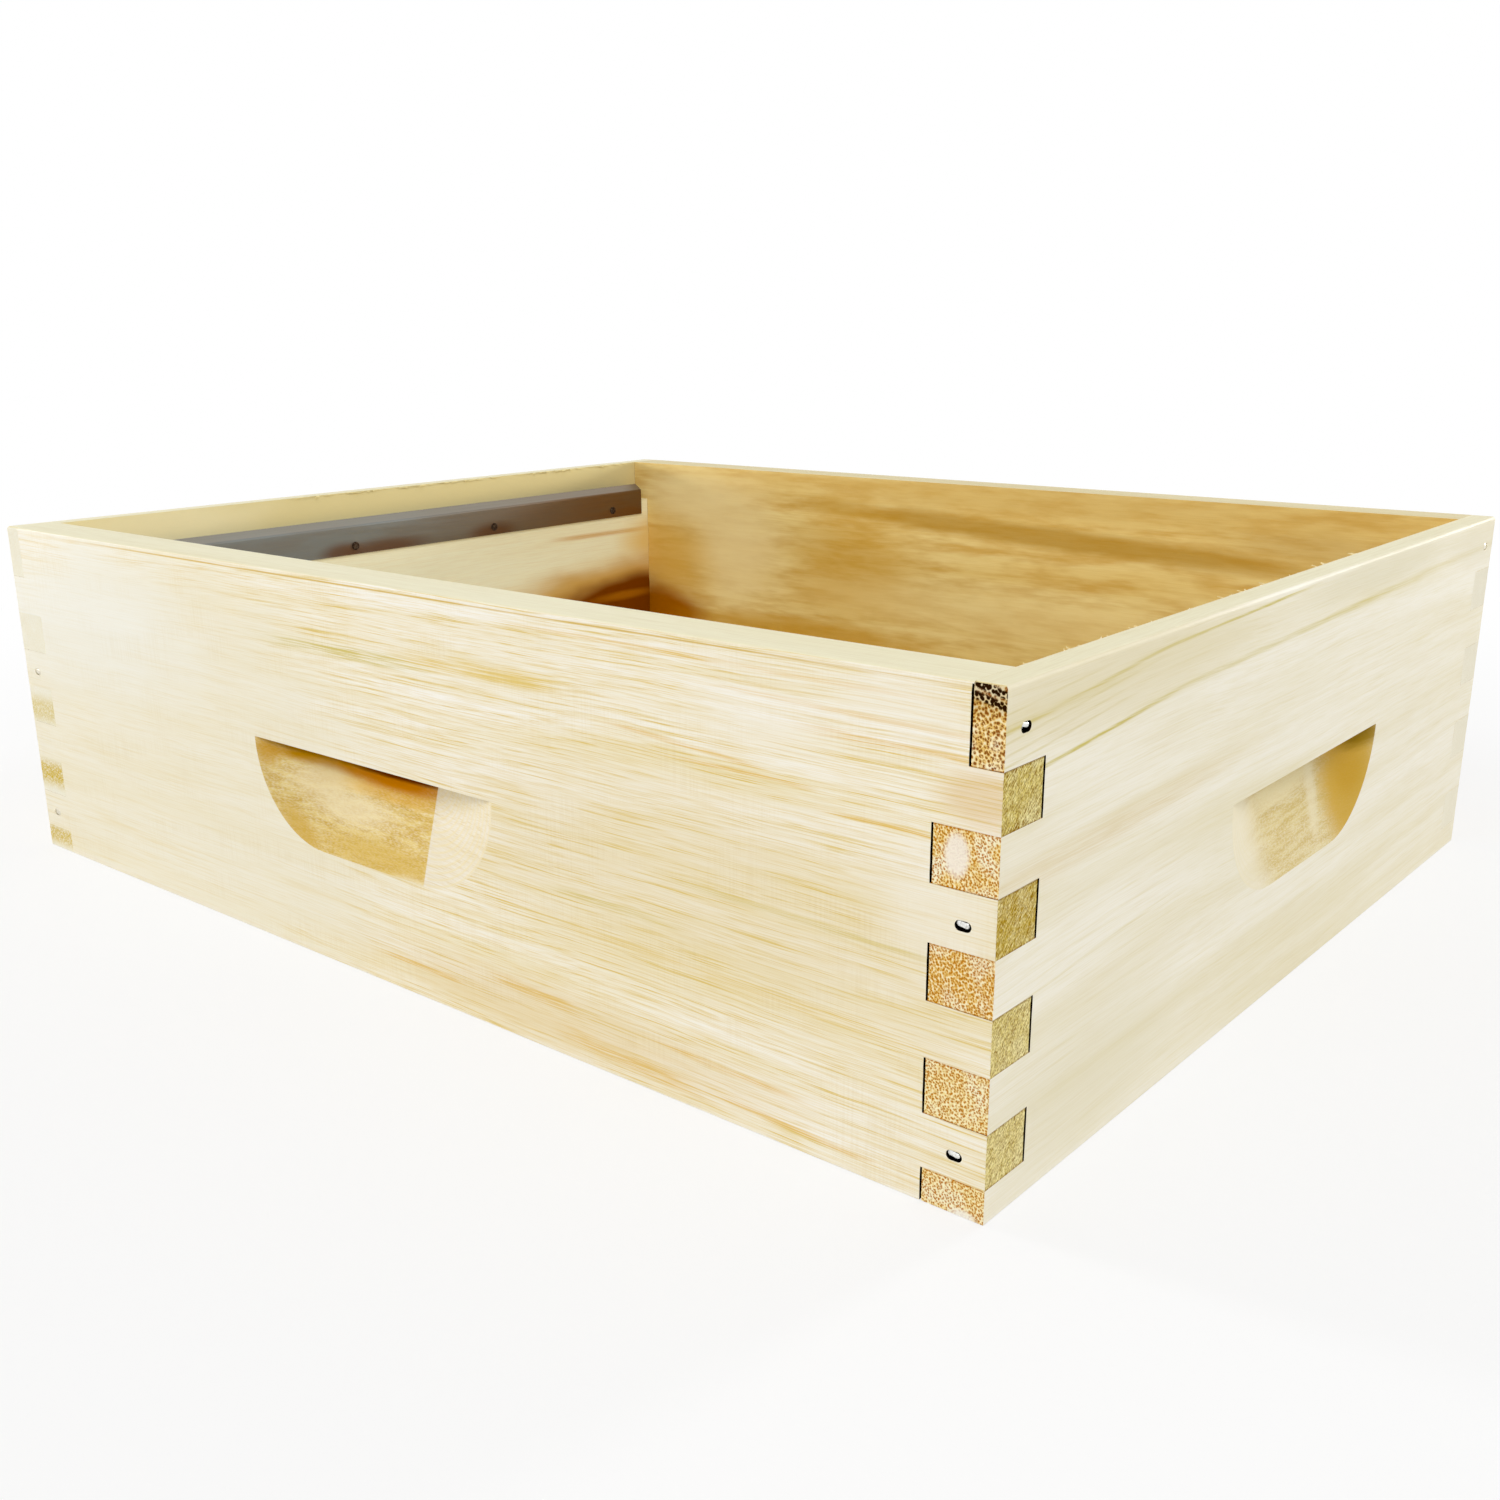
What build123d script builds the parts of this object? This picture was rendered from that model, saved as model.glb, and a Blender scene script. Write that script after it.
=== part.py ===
from build123d import *
import math
import os

# Empty wooden super for a bee hive, in millimetres. X runs along the long side boards, Y from the
# front board to the back board and Z up. The origin is the middle of the bottom opening.

# Box and boards
box_length = 505.0
box_width = 413.0
box_height = 148.4
board = 19.8
top_ease = 1.4

# Rebate along the top inner edge of each end board
rebate_width = 10.4
rebate_depth = 21.9

# Finger joints, counted from the top: end board, side board, end board and so on
finger = 16.6
least_bottom_finger = 8.0
socket_play = 0.4
finger_play = 0.12

# Scooped handholds: a flat sloping floor between two ramps that rise to round ends
hold_drop = 66.4
hold_flat = 58.0
hold_height = 38.6
hold_depth = 10.7
side_hold_offset = -5.6
end_hold_offset = 8.5

# Corner nails with oblong heads, driven a little below the surface
nail_head_length = 5.0
nail_head_width = 2.9
nail_head_thickness = 1.0
nail_sink = 0.4
nail_shank = 1.7
nail_length = 42.0
nail_tip = 3.0
nail_drop = 1.2

# Folded metal strips that carry the frames
rest_sheet = 0.8
rest_top_drop = 12.4
rest_leg_drop = 30.4
rest_lip_run = 4.6
rest_lip_rise = 3.1
rest_end_gap = 6.5

# Tacks that hold the strips
tack_head = 4.2
tack_head_thickness = 0.8
tack_crown = 0.5
tack_shank = 1.3
tack_length = 12.0
tack_margin = 25.4
tack_spacing = 95.5

# Faces that several pieces share
front_face = -box_width / 2
right_face = box_length / 2
rim = board - rebate_width
end_inner_face = right_face - board
side_inner_face = front_face + board
ledge = box_height - rebate_depth


def slab(x_from, x_to, y_from, y_to, z_from, z_to):
    """A block between two corners."""
    middle = ((x_from + x_to) / 2, (y_from + y_to) / 2, (z_from + z_to) / 2)
    return Pos(*middle) * Box(x_to - x_from, y_to - y_from, z_to - z_from)


def half_turn(piece):
    """The same piece at the opposite side of the box."""
    return Rot(0, 0, 180) * piece


def joint_fingers():
    """Bottom and top of each finger, from the top down; the top one is as tall as the rebate."""
    full_fingers = int((ledge - least_bottom_finger) // finger)
    marks = [box_height]
    marks += [ledge - finger * step for step in range(full_fingers + 1)]
    marks += [0.0]
    return list(zip(marks[1:], marks[:-1]))


fingers = joint_fingers()
end_fingers = fingers[0::2]
side_fingers = fingers[1::2]


# Handholds

def ramp_end():
    """One round end of a scoop: its ramp is ruled from the floor's crease to a quarter circle."""
    middle = Vector(hold_flat / 2, 0, 0)
    deep = middle + Vector(0, hold_depth, 0)
    tip = middle + Vector(hold_height, 0, 0)
    low = middle + Vector(0, 0, -hold_height)
    half_root = hold_height * math.sqrt(0.5)
    bow = middle + Vector(half_root, 0, -half_root)
    round_edge = Edge.make_three_point_arc(tip, bow, low)
    crease = Edge.make_line(deep, low)
    faces = [
        Face.make_surface_from_curves(crease, round_edge),
        Face(Wire([Edge.make_line(middle, tip), round_edge, Edge.make_line(low, middle)])),
        Face(Wire.make_polygon([middle, deep, tip])),
        Face(Wire.make_polygon([middle, deep, low])),
    ]
    return Solid(Shell(faces))


def scoop():
    """A handhold's hollow with its top edge on the X axis, cut towards +Y."""
    section = Face(Wire.make_polygon([(0, 0, 0), (0, hold_depth, 0), (0, 0, -hold_height)]))
    floor = Pos(-hold_flat / 2, 0, 0) * Solid.extrude(section, Vector(hold_flat, 0, 0))
    right_end = ramp_end()
    left_end = mirror(right_end, Plane.YZ)
    return floor + right_end + left_end


def side_hold():
    return Pos(side_hold_offset, front_face, box_height - hold_drop) * scoop()


def end_hold():
    turned = Rot(0, 0, 90) * scoop()
    return Pos(right_face, end_hold_offset, box_height - hold_drop) * turned


# Nails and tacks

def nail(pocket=False):
    """A nail driven along +Y from a face at Y = 0; the pocket is open up to that face."""
    head_top = 0.0 if pocket else nail_sink
    head_foot = nail_sink + nail_head_thickness
    outline = Plane.XZ * SlotOverall(nail_head_length, nail_head_width)
    head = Pos(0, head_top, 0) * extrude(outline, head_foot - head_top, dir=(0, 1, 0))
    straight = nail_length - nail_tip
    shank = Cylinder(nail_shank / 2, straight, align=(Align.CENTER, Align.CENTER, Align.MIN))
    tip = Cone(nail_shank / 2, nail_shank / 8, nail_tip, align=(Align.CENTER, Align.CENTER, Align.MIN))
    stem = shank + Pos(0, 0, straight) * tip
    return head + Pos(0, head_foot, 0) * (Rot(-90, 0, 0) * stem)


def side_nail_places(side):
    """Nails through every second side finger, at the right (+1) or left (-1) end of the front board."""
    across = side * (right_face - board / 2)
    return [Pos(across, front_face, (low + high) / 2 - nail_drop) for low, high in side_fingers[1::2]]


def end_nail_place(side):
    """The nail through the right end board's top finger, at its front (-1) or back (+1) corner."""
    along = side * (box_width / 2 - board / 2)
    height = (ledge + box_height) / 2 - nail_drop
    return Pos(right_face, along, height) * Rot(0, 0, 90)


def tack():
    """A round-headed tack driven along +X, with its head's underside at X = 0."""
    head = Cylinder(tack_head / 2, tack_head_thickness, align=(Align.CENTER, Align.CENTER, Align.MAX))
    crown = head.edges().group_by(Axis.Z)[0]
    head = fillet(crown, tack_crown)
    shank = Cylinder(tack_shank / 2, tack_length, align=(Align.CENTER, Align.CENTER, Align.MIN))
    return Rot(0, 90, 0) * (head + shank)


rest_length = box_width - 2 * board - 2 * rest_end_gap
tack_count = 1 + int((rest_length - 2 * tack_margin) // tack_spacing)


def right_tacks():
    """Tacks in the right strip, in the middle of the stretch that lies on the end board."""
    height = box_height - (rest_leg_drop + rebate_depth) / 2
    first = -rest_length / 2 + tack_margin
    inner = end_inner_face - rest_sheet
    return [Pos(inner, first + tack_spacing * step, height) * tack() for step in range(tack_count)]


# Boards and strips

def front_board():
    """A side board: sockets for the end fingers, a handhold, nail holes and an eased top edge."""
    blank = slab(-right_face, right_face, front_face, side_inner_face, 0, box_height)
    eased = blank.edges().filter_by(Axis.X).group_by(Axis.Z)[-1].sort_by(Axis.Y)[0]
    blank = fillet(eased, top_ease)
    for low, high in end_fingers:
        thickness = rim if high > ledge else board
        socket_foot = right_face - thickness - socket_play
        socket = slab(socket_foot, right_face, front_face, side_inner_face, low, high)
        blank -= socket
        blank -= mirror(socket, Plane.YZ)
    blank -= side_hold()
    for side in (-1, 1):
        for place in side_nail_places(side):
            blank -= place * nail(pocket=True)
    blank -= end_nail_place(-1) * nail(pocket=True)
    blank -= half_turn(end_nail_place(1) * nail(pocket=True))
    return blank


def right_board():
    """An end board: rebate, eased finger tops, sockets, a handhold, nail and tack holes."""
    blank = slab(end_inner_face, right_face, front_face, -front_face, 0, box_height)
    blank -= slab(end_inner_face, right_face - rim, front_face, -front_face, ledge, box_height)
    eased = blank.edges().filter_by(Axis.X).group_by(Axis.Z)[-1]
    blank = fillet(eased, top_ease)
    socket_foot = side_inner_face + socket_play
    for low, high in side_fingers:
        socket = slab(end_inner_face, right_face, front_face, socket_foot, low, high + finger_play)
        blank -= socket
        blank -= mirror(socket, Plane.XZ)
    blank -= end_hold()
    for side in (-1, 1):
        blank -= end_nail_place(side) * nail(pocket=True)
    for place in side_nail_places(1):
        blank -= place * nail(pocket=True)
    for place in side_nail_places(-1):
        blank -= half_turn(place * nail(pocket=True))
    for piece in right_tacks():
        blank -= piece
    return blank


def right_rest():
    """A folded strip: its leg lies on the end board's inner face, its lip rises over the ledge."""
    slope = math.atan2(rest_lip_rise, rest_lip_run)
    leg_foot = box_height - rest_leg_drop
    lip_top = box_height - rest_top_drop
    bend = lip_top - rest_lip_rise - rest_sheet * math.cos(slope)
    outer_bend = bend + rest_sheet * (1 / math.cos(slope) - math.tan(slope))
    lip_end = end_inner_face + rest_lip_run
    outline = [
        (end_inner_face, leg_foot),
        (end_inner_face, bend),
        (lip_end, bend + rest_lip_rise),
        (lip_end - rest_sheet * math.sin(slope), lip_top),
        (end_inner_face - rest_sheet, outer_bend),
        (end_inner_face - rest_sheet, leg_foot),
    ]
    section = Face(Wire.make_polygon([(x, -rest_length / 2, z) for x, z in outline]))
    strip = Solid.extrude(section, Vector(0, rest_length, 0))
    for piece in right_tacks():
        strip -= piece
    return strip


front = front_board()
right = right_board()
strip = right_rest()
tacks = Compound(children=right_tacks())
nodes = {
    "front_side_board": front,
    "back_side_board": half_turn(front),
    "right_end_board": right,
    "left_end_board": half_turn(right),
    "right_frame_rest": strip,
    "left_frame_rest": half_turn(strip),
    "right_rest_tacks": tacks,
    "left_rest_tacks": half_turn(tacks),
}
for side, front_name, back_name in ((1, "front_right", "back_left"), (-1, "front_left", "back_right")):
    pair = Compound(children=[place * nail() for place in side_nail_places(side)])
    nodes[front_name + "_side_nails"] = pair
    nodes[back_name + "_side_nails"] = half_turn(pair)
for side, right_name, left_name in ((-1, "front_right", "back_left"), (1, "back_right", "front_left")):
    single = end_nail_place(side) * nail()
    nodes[right_name + "_end_nail"] = single
    nodes[left_name + "_end_nail"] = half_turn(single)

os.makedirs("parts", exist_ok=True)
for name, shape in nodes.items():
    export_step(shape, f"parts/{name}.step")
    print(name, "solids", len(shape.solids()), "volume", round(shape.volume, 1), "valid", shape.is_valid)
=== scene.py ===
# %% [markdown]
# # A wooden hive super, dressed in Blender
#
# The object is an empty box of pale wood that stands on a bee hive. Four boards meet in finger
# joints at the corners, nails hold them, and a folded metal strip along each short end carries
# the frames. The packed model gives every piece its place. This lesson keeps those sizes, cuts
# the boards again with softer edges and rougher saw cuts, and gives each piece its finish.

# %% Load the packed model
import math
import random

import bmesh
import bpy
from mathutils import Matrix, Vector


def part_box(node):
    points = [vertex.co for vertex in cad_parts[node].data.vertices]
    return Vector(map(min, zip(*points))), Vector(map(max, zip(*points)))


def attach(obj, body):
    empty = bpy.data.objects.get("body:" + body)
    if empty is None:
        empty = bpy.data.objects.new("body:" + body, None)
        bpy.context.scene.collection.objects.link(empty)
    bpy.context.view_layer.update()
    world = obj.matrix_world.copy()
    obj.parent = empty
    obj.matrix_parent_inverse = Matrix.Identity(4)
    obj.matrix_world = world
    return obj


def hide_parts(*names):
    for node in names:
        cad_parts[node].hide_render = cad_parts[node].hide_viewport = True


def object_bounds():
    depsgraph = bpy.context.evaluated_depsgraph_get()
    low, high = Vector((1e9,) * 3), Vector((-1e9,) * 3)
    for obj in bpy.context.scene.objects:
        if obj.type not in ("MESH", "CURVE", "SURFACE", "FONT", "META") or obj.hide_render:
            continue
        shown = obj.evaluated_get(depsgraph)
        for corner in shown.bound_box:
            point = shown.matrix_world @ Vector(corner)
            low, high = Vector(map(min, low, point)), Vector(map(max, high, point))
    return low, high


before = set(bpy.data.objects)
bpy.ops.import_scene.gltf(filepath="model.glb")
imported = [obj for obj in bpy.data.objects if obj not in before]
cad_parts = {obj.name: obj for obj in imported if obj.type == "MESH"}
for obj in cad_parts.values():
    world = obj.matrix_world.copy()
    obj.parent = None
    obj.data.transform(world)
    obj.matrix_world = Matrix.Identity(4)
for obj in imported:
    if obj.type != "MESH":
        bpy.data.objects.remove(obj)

cad_low, cad_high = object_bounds()
mm = 0.001
print("nodes", len(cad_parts), "box in metres", tuple(cad_low), tuple(cad_high))

# %% [markdown]
# ## Sizes
#
# Length, width, height and board thickness are read from the packed model. The joint is laid out
# from the top edge down, as a maker would gauge it: one tall finger as deep as the rebate, then
# equal fingers, and a short one that takes up what is left at the bottom.

# %% Sizes in millimetres
box_length, box_width, box_height = (round(size / mm, 3) for size in cad_high - cad_low)
end_low, end_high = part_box("right_end_board")
board = round((end_high.x - end_low.x) / mm, 3)
half_length = box_length / 2
half_width = box_width / 2
rebate_width = 10.4
rebate_depth = 21.9
rim = board - rebate_width
ledge = box_height - rebate_depth
finger = 16.6
least_bottom_finger = 8.0
full_fingers = int((ledge - least_bottom_finger) // finger)
marks = [box_height]
marks += [ledge - finger * step for step in range(full_fingers + 1)]
marks += [0.0]
steps = list(zip(marks[1:], marks[:-1]))
end_fingers = steps[0::2]
side_fingers = steps[1::2]
print("board", board, "fingers from the top", [round(high - low, 1) for low, high in steps])

# %% [markdown]
# ## Board blanks
#
# A board with finger joints is one flat outline, so it is drawn as a polygon and extruded by the
# board's thickness. Real saw cuts are never quite straight: the finger edges get extra points
# that wander a little, always towards the wood, so that no board grows past its neighbour. A finger
# stops short of its socket's foot. The gap is widest on the outer face, where the saw left the cut,
# and closes towards the inside of the box, so the inner face has a tighter outline than the outer.

# %% Outlines of the boards
saw_step = 2.6
saw_wander = 0.09
closed_top = 0.8
finger_play = 0.12
tight_play = 0.02
tight_gap = 0.05
tight_ends = (tight_gap, tight_gap)


def sawn_edge(points, draw):
    """The same path with extra points on its short stretches, each a little inside the line."""
    path = []
    for (a, low), (b, high) in zip(points[:-1], points[1:]):
        path.append((a, low))
        span = math.hypot(b - a, high - low)
        pieces = int(span / saw_step)
        for step in range(1, pieces):
            share = step / pieces
            inward = draw.uniform(0, saw_wander) if abs(b - a) < saw_wander else 0
            path.append((a + (b - a) * share - inward, low + (high - low) * share))
    path.append(points[-1])
    return path


def both_ends(one_end, gaps):
    """A closed outline from the path up a board's right end, with a gap for the left and right end."""
    left_gap, right_gap = gaps
    right = one_end(right_gap)
    left = [(-across, level) for across, level in reversed(one_end(left_gap))]
    return right + left


def side_outline(draw, gaps):
    """Corner points of a side board as seen from outside, with sockets for the end fingers.

    The top socket is tight along the top edge, where planing has closed the gap.
    """
    def one_end(gap):
        path = []
        for low, high in reversed(steps):
            if high == box_height:
                foot = half_length - rim
                path += [(foot - gap, low), (foot - gap, high - closed_top)]
                path += [(foot, high - closed_top), (foot, high)]
            else:
                depth = gap + board if (low, high) in end_fingers else 0
                path += [(half_length - depth, low), (half_length - depth, high)]
        return sawn_edge(path, draw)
    return both_ends(one_end, gaps)


def end_outline(draw, gaps):
    """Corner points of an end board, with sockets for the side fingers."""
    def one_end(gap):
        path = []
        play = finger_play if gap > tight_gap else tight_play
        for low, high in reversed(steps):
            if (low, high) in end_fingers:
                foot = low + play if low > 0 else low
                path += [(half_width, foot), (half_width, high)]
            else:
                socket = half_width - board - gap
                path += [(socket, low), (socket, high + play)]
        return sawn_edge(path, draw)
    return both_ends(one_end, gaps)


print("side outline", len(side_outline(random.Random(1), tight_ends)), "points")

# %% Solids from outlines


def capped(shape, rings):
    """Closes a solid through a row of rings of as many points."""
    for near, far in zip(rings[:-1], rings[1:]):
        for a, b, c, d in zip(near, near[1:] + near[:1], far[1:] + far[:1], far):
            shape.faces.new((a, b, c, d))
    shape.faces.new(rings[0][::-1])
    shape.faces.new(rings[-1])
    bmesh.ops.recalc_face_normals(shape, faces=shape.faces[:])
    return shape


def extruded(outer, inner, thickness):
    """A bmesh between two outlines in X and Z: one at Y = 0, the other a thickness further in."""
    shape = bmesh.new()
    rings = []
    for outline, deep in ((outer, 0), (inner, thickness)):
        rings.append([shape.verts.new(Vector((across, deep, level)) * mm) for across, level in outline])
    return capped(shape, rings)


def shifted(shape, across, deep, level):
    """Moves a whole bmesh by millimetres."""
    bmesh.ops.translate(shape, verts=shape.verts[:], vec=(across * mm, deep * mm, level * mm))
    return shape


def finished(name, shape):
    """Turns a bmesh into an object of the scene."""
    mesh = bpy.data.meshes.new(name)
    shape.to_mesh(mesh)
    shape.free()
    piece = bpy.data.objects.new(name, mesh)
    bpy.context.scene.collection.objects.link(piece)
    return piece


def smoothed(piece, sharp_angle):
    """Smooth shading, but for edges sharper than an angle in degrees."""
    for face in piece.data.polygons:
        face.use_smooth = True
    piece.data.set_sharp_from_angle(angle=math.radians(sharp_angle))
    return piece


print("ready to make solids")

# %% [markdown]
# ## Cutters
#
# The handhold is a scoop with a straight upper edge. Its floor is a flat plane that slopes from
# full depth under the edge out to the face, and both ends rise on a ramp to a quarter circle. The
# ramp is ruled: straight lines run from the crease at the floor to the round edge. The cutter
# repeats that surface as a grid of points and closes it in front of the face, so a Boolean can
# take it out of the board. Nail pockets are small slots, cut the same way.

# %% Handhold cutter
hold_drop = 66.4
hold_flat = 58.0
hold_height = 38.6
hold_depth = 10.7
hold_top = box_height - hold_drop
cutter_reach = 3.0
weld_distance = 1e-7


def scoop_surface(rows=20, columns=14):
    """Rows of points, from the straight upper edge down to the bottom edge."""
    grid = []
    for row in range(rows + 1):
        drop = row / rows
        turn = drop * math.pi / 2
        crease = Vector((hold_flat / 2, hold_depth * (1 - drop), -hold_height * drop))
        across = hold_flat / 2 + hold_height * math.cos(turn)
        rim_point = Vector((across, 0, -hold_height * math.sin(turn)))
        ramp = [crease.lerp(rim_point, step / columns) for step in range(columns + 1)]
        mirrored = [Vector((-point.x, point.y, point.z)) for point in reversed(ramp)]
        grid.append(mirrored + ramp)
    return grid


def hold_cutter(offset):
    """The scoop as a closed solid that reaches out past the face of the board."""
    shape = bmesh.new()
    rows = [[shape.verts.new(point * mm) for point in row] for row in scoop_surface()]
    outline = [row[0] for row in rows] + rows[-1][1:-1] + [row[-1] for row in reversed(rows)]
    outer = [shape.verts.new((vert.co.x, -cutter_reach * mm, vert.co.z)) for vert in outline]
    for upper, lower in [*zip(rows[:-1], rows[1:]), (outline, outer)]:
        for a, b, c, d in zip(upper[:-1], upper[1:], lower[1:], lower[:-1]):
            shape.faces.new((a, b, c, d))
    shape.faces.new(outer)
    shape.faces.new(rows[0] + [outer[-1], outer[0]])
    bmesh.ops.remove_doubles(shape, verts=shape.verts[:], dist=weld_distance)
    bmesh.ops.recalc_face_normals(shape, faces=shape.faces[:])
    return finished("scoop", shifted(shape, offset, 0, hold_top))


print("scoop", hold_flat + 2 * hold_height, "wide")

# %% Pocket and rebate cutters
nail_head_length = 5.0
nail_head_width = 2.9
nail_head_thickness = 1.0
nail_sink = 0.4
nail_drop = 1.2
nail_foot = nail_sink + nail_head_thickness
side_nails = [(low + high) / 2 - nail_drop for low, high in side_fingers[1::2]]
end_nail = (ledge + box_height) / 2 - nail_drop


def nail_outline(shrink, arc_steps=10):
    """Points round an oblong head that is smaller than its pocket by shrink on every side."""
    radius = nail_head_width / 2 - shrink
    straight = (nail_head_length - nail_head_width) / 2
    points = []
    for side in (1, -1):
        for step in range(arc_steps + 1):
            turn = math.pi * (step / arc_steps - 0.5)
            points.append((side * (straight + radius * math.cos(turn)), side * radius * math.sin(turn)))
    return points


def pocket_cutter(across, level):
    """A slot the size of a nail head, from in front of the face to the foot of the head."""
    outline = nail_outline(0)
    shape = extruded(outline, outline, nail_foot + cutter_reach)
    return finished("pocket", shifted(shape, across, -cutter_reach, level))


def rebate_cutter():
    low, high = (-half_width - cutter_reach, ledge), (half_width + cutter_reach, box_height + cutter_reach)
    outline = [low, (high[0], low[1]), high, (low[0], high[1])]
    shape = extruded(outline, outline, rebate_width + cutter_reach)
    return finished("rebate", shifted(shape, 0, rim, 0))


print("nail heights", [round(level, 1) for level in side_nails + [end_nail]])

# %% [markdown]
# ## Cutting the boards
#
# Each board is made once in its own coordinates: X along the board, Y from its outer face inwards
# and Z up. It is then turned to its side of the box. A narrow bevel breaks the sharp edges after
# all the cuts, because a real edge always catches a thin line of light. The outer top edges are
# rounded over first, as planing the finished box does.

# %% Cutting and easing
edge_break = 0.08
edge_angle = 50
top_ease = 1.4
touching = 0.01


def board_placement(turn, reach):
    """Moves a board from its own coordinates to its side of the box."""
    return Matrix.Rotation(math.radians(turn), 4, "Z") @ Matrix.Translation((0, -reach * mm, 0))


def carved(piece, cutters):
    """Takes the cutters out of a piece, breaks its edges and keeps the result as a plain mesh."""
    for cutter in cutters:
        cut = piece.modifiers.new("cut", "BOOLEAN")
        cut.operation = "DIFFERENCE"
        cut.solver = "EXACT"
        cut.object = cutter
    edges = piece.modifiers.new("broken edges", "BEVEL")
    edges.width = edge_break * mm
    edges.segments = 2
    edges.limit_method = "ANGLE"
    edges.angle_limit = math.radians(edge_angle)
    edges.use_clamp_overlap = False
    bpy.context.view_layer.update()
    seen = piece.evaluated_get(bpy.context.evaluated_depsgraph_get())
    piece.data = bpy.data.meshes.new_from_object(seen)
    piece.modifiers.clear()
    for cutter in cutters:
        bpy.data.objects.remove(cutter)
    return piece


def ease(shape, on_edge):
    """Rounds over the top edges whose two ends both satisfy a test of their place in millimetres."""
    chosen = []
    for edge in shape.edges:
        if all(vert.co.z / mm > box_height - touching and on_edge(vert.co / mm) for vert in edge.verts):
            chosen.append(edge)
    bmesh.ops.bevel(shape, geom=chosen, offset=top_ease * mm, segments=6, profile=0.5, affect="EDGES")


print("top edges eased by", top_ease)

# %% [markdown]
# ## Burrs
#
# The saw that cut the rebate tore the grain along the inner top edge of each end board, and short
# burrs still stick out there. Each one is a thin three-sided sliver that bends away from the rim.

# %% Burrs on the rim
burr_count = 70
burr_stretch = (-184.0, 60.0)
burr_lengths = (1.5, 7.0)
burr_thickness = (0.25, 0.6)
burr_reach = (0.2, 3.0)
burr_root = 0.15
burr_drop = 0.02
burr_start = 0.2
burr_taper = 0.5
burr_turns = [math.radians(angle) for angle in (90, 210, 330)]


def with_burrs(piece, draw):
    shape = bmesh.new()
    shape.from_mesh(piece.data)
    least_reach, more_reach = burr_reach
    for _ in range(burr_count):
        length = draw.uniform(*burr_lengths)
        thick = draw.uniform(*burr_thickness)
        reach = least_reach + more_reach * draw.random() ** 3
        root = Vector((draw.uniform(*burr_stretch), rim - burr_root, box_height - thick - burr_drop))
        rings = []
        for share in (0.0, 0.5, 1.0):
            middle = root + Vector((length * share, reach * share ** 2 + burr_start * share, 0))
            slim = thick * (1 - burr_taper * share)
            spokes = [Vector((0, math.cos(turn), math.sin(turn))) * slim for turn in burr_turns]
            rings.append([shape.verts.new((middle + spoke) * mm) for spoke in spokes])
        capped(shape, rings)
    shape.to_mesh(piece.data)
    shape.free()
    return piece


print("burrs on each end board", burr_count)

# %% [markdown]
# ## Which finish goes where
#
# A board has long faces, sawn ends, a scooped hold, narrow seams and nail pockets, and each of them
# gets a finish of its own. The mesh doesn't say which face is which after the cuts, so each face is
# sorted by where its middle lies and which way it looks.

# %% Sorting faces
finish_names = ["outer face", "inner face", "top", "sawn end", "scoop", "open seam", "tight seam", "pocket"]
margin = 0.1
wide_margin = 1.0
under_face = 0.02
clear_of_edge = 0.3
top_skin = 0.5
squarely = 0.8
mostly = 0.7
slightly = 0.1


def sort_faces(piece, kind, open_end):
    """Gives each face of a board, still in its own coordinates, the number of its finish."""
    for face in piece.data.polygons:
        across, deep, level = face.center / mm
        out_of_end = kind["span"] - abs(across)
        eased = level > box_height - top_ease - margin and min(out_of_end, deep) < top_ease + margin
        beside_joint = clear_of_edge < out_of_end < board + wide_margin
        in_joint = beside_joint and clear_of_edge < level < box_height - clear_of_edge and not eased
        by_nail = any(math.hypot(across - a, level - b) < nail_head_length for a, b in kind["nails"])
        beside_hold = abs(across - kind["hold"]) < hold_flat / 2 + hold_height + wide_margin
        at_hold = hold_top - hold_height - wide_margin < level < hold_top + margin
        at_open_end = across * open_end > 0
        if by_nail and under_face < deep < nail_foot + margin:
            finish = "pocket" if at_open_end else "outer face"
        elif in_joint and abs(face.normal.y) < squarely:
            finish = "open seam" if at_open_end else "tight seam"
        elif beside_hold and at_hold and under_face < deep < hold_depth + margin:
            finish = "scoop"
        elif abs(face.normal.x) > mostly and out_of_end < top_ease:
            finish = "sawn end"
        elif face.normal.z > squarely and level > box_height - top_skin:
            finish = "top"
        elif face.normal.y < -slightly:
            finish = "outer face"
        else:
            finish = "inner face"
        face.material_index = finish_names.index(finish)


print(len(finish_names), "kinds of surface on a board")

# %% Boards
side_hold_offset = -5.6
end_hold_offset = 8.5
side_across = half_length - board / 2
end_across = half_width - board / 2
side_board = dict(
    outline=side_outline, span=half_length, reach=half_width, hold=side_hold_offset,
    nails=[(side * side_across, level) for side in (-1, 1) for level in side_nails],
    on_eased_edge=lambda place: place.y < touching,
)
end_board = dict(
    outline=end_outline, span=half_width, reach=half_length, hold=end_hold_offset,
    nails=[(side * end_across, end_nail) for side in (-1, 1)],
    on_eased_edge=lambda place: abs(place.x) > half_width - touching,
)
board_kinds = {
    "front_side_board": (side_board, 0), "back_side_board": (side_board, 180),
    "right_end_board": (end_board, 90), "left_end_board": (end_board, 270),
}
open_joints = {"front_side_board": (1, 0.6), "right_end_board": (-1, 0.85)}
first_board_seed = 40
scoop_sharp_angle = 12


def make_board(node, kind, seed, gaps):
    outer, inner = (kind["outline"](random.Random(seed), ends) for ends in (gaps, tight_ends))
    shape = extruded(outer, inner, board)
    ease(shape, kind["on_eased_edge"])
    piece = finished(node + "_wood", shape)
    cutters = [hold_cutter(kind["hold"])] + [pocket_cutter(*place) for place in kind["nails"]]
    if kind is side_board:
        return carved(piece, cutters)
    return with_burrs(carved(piece, [rebate_cutter()] + cutters), random.Random(seed))


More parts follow.
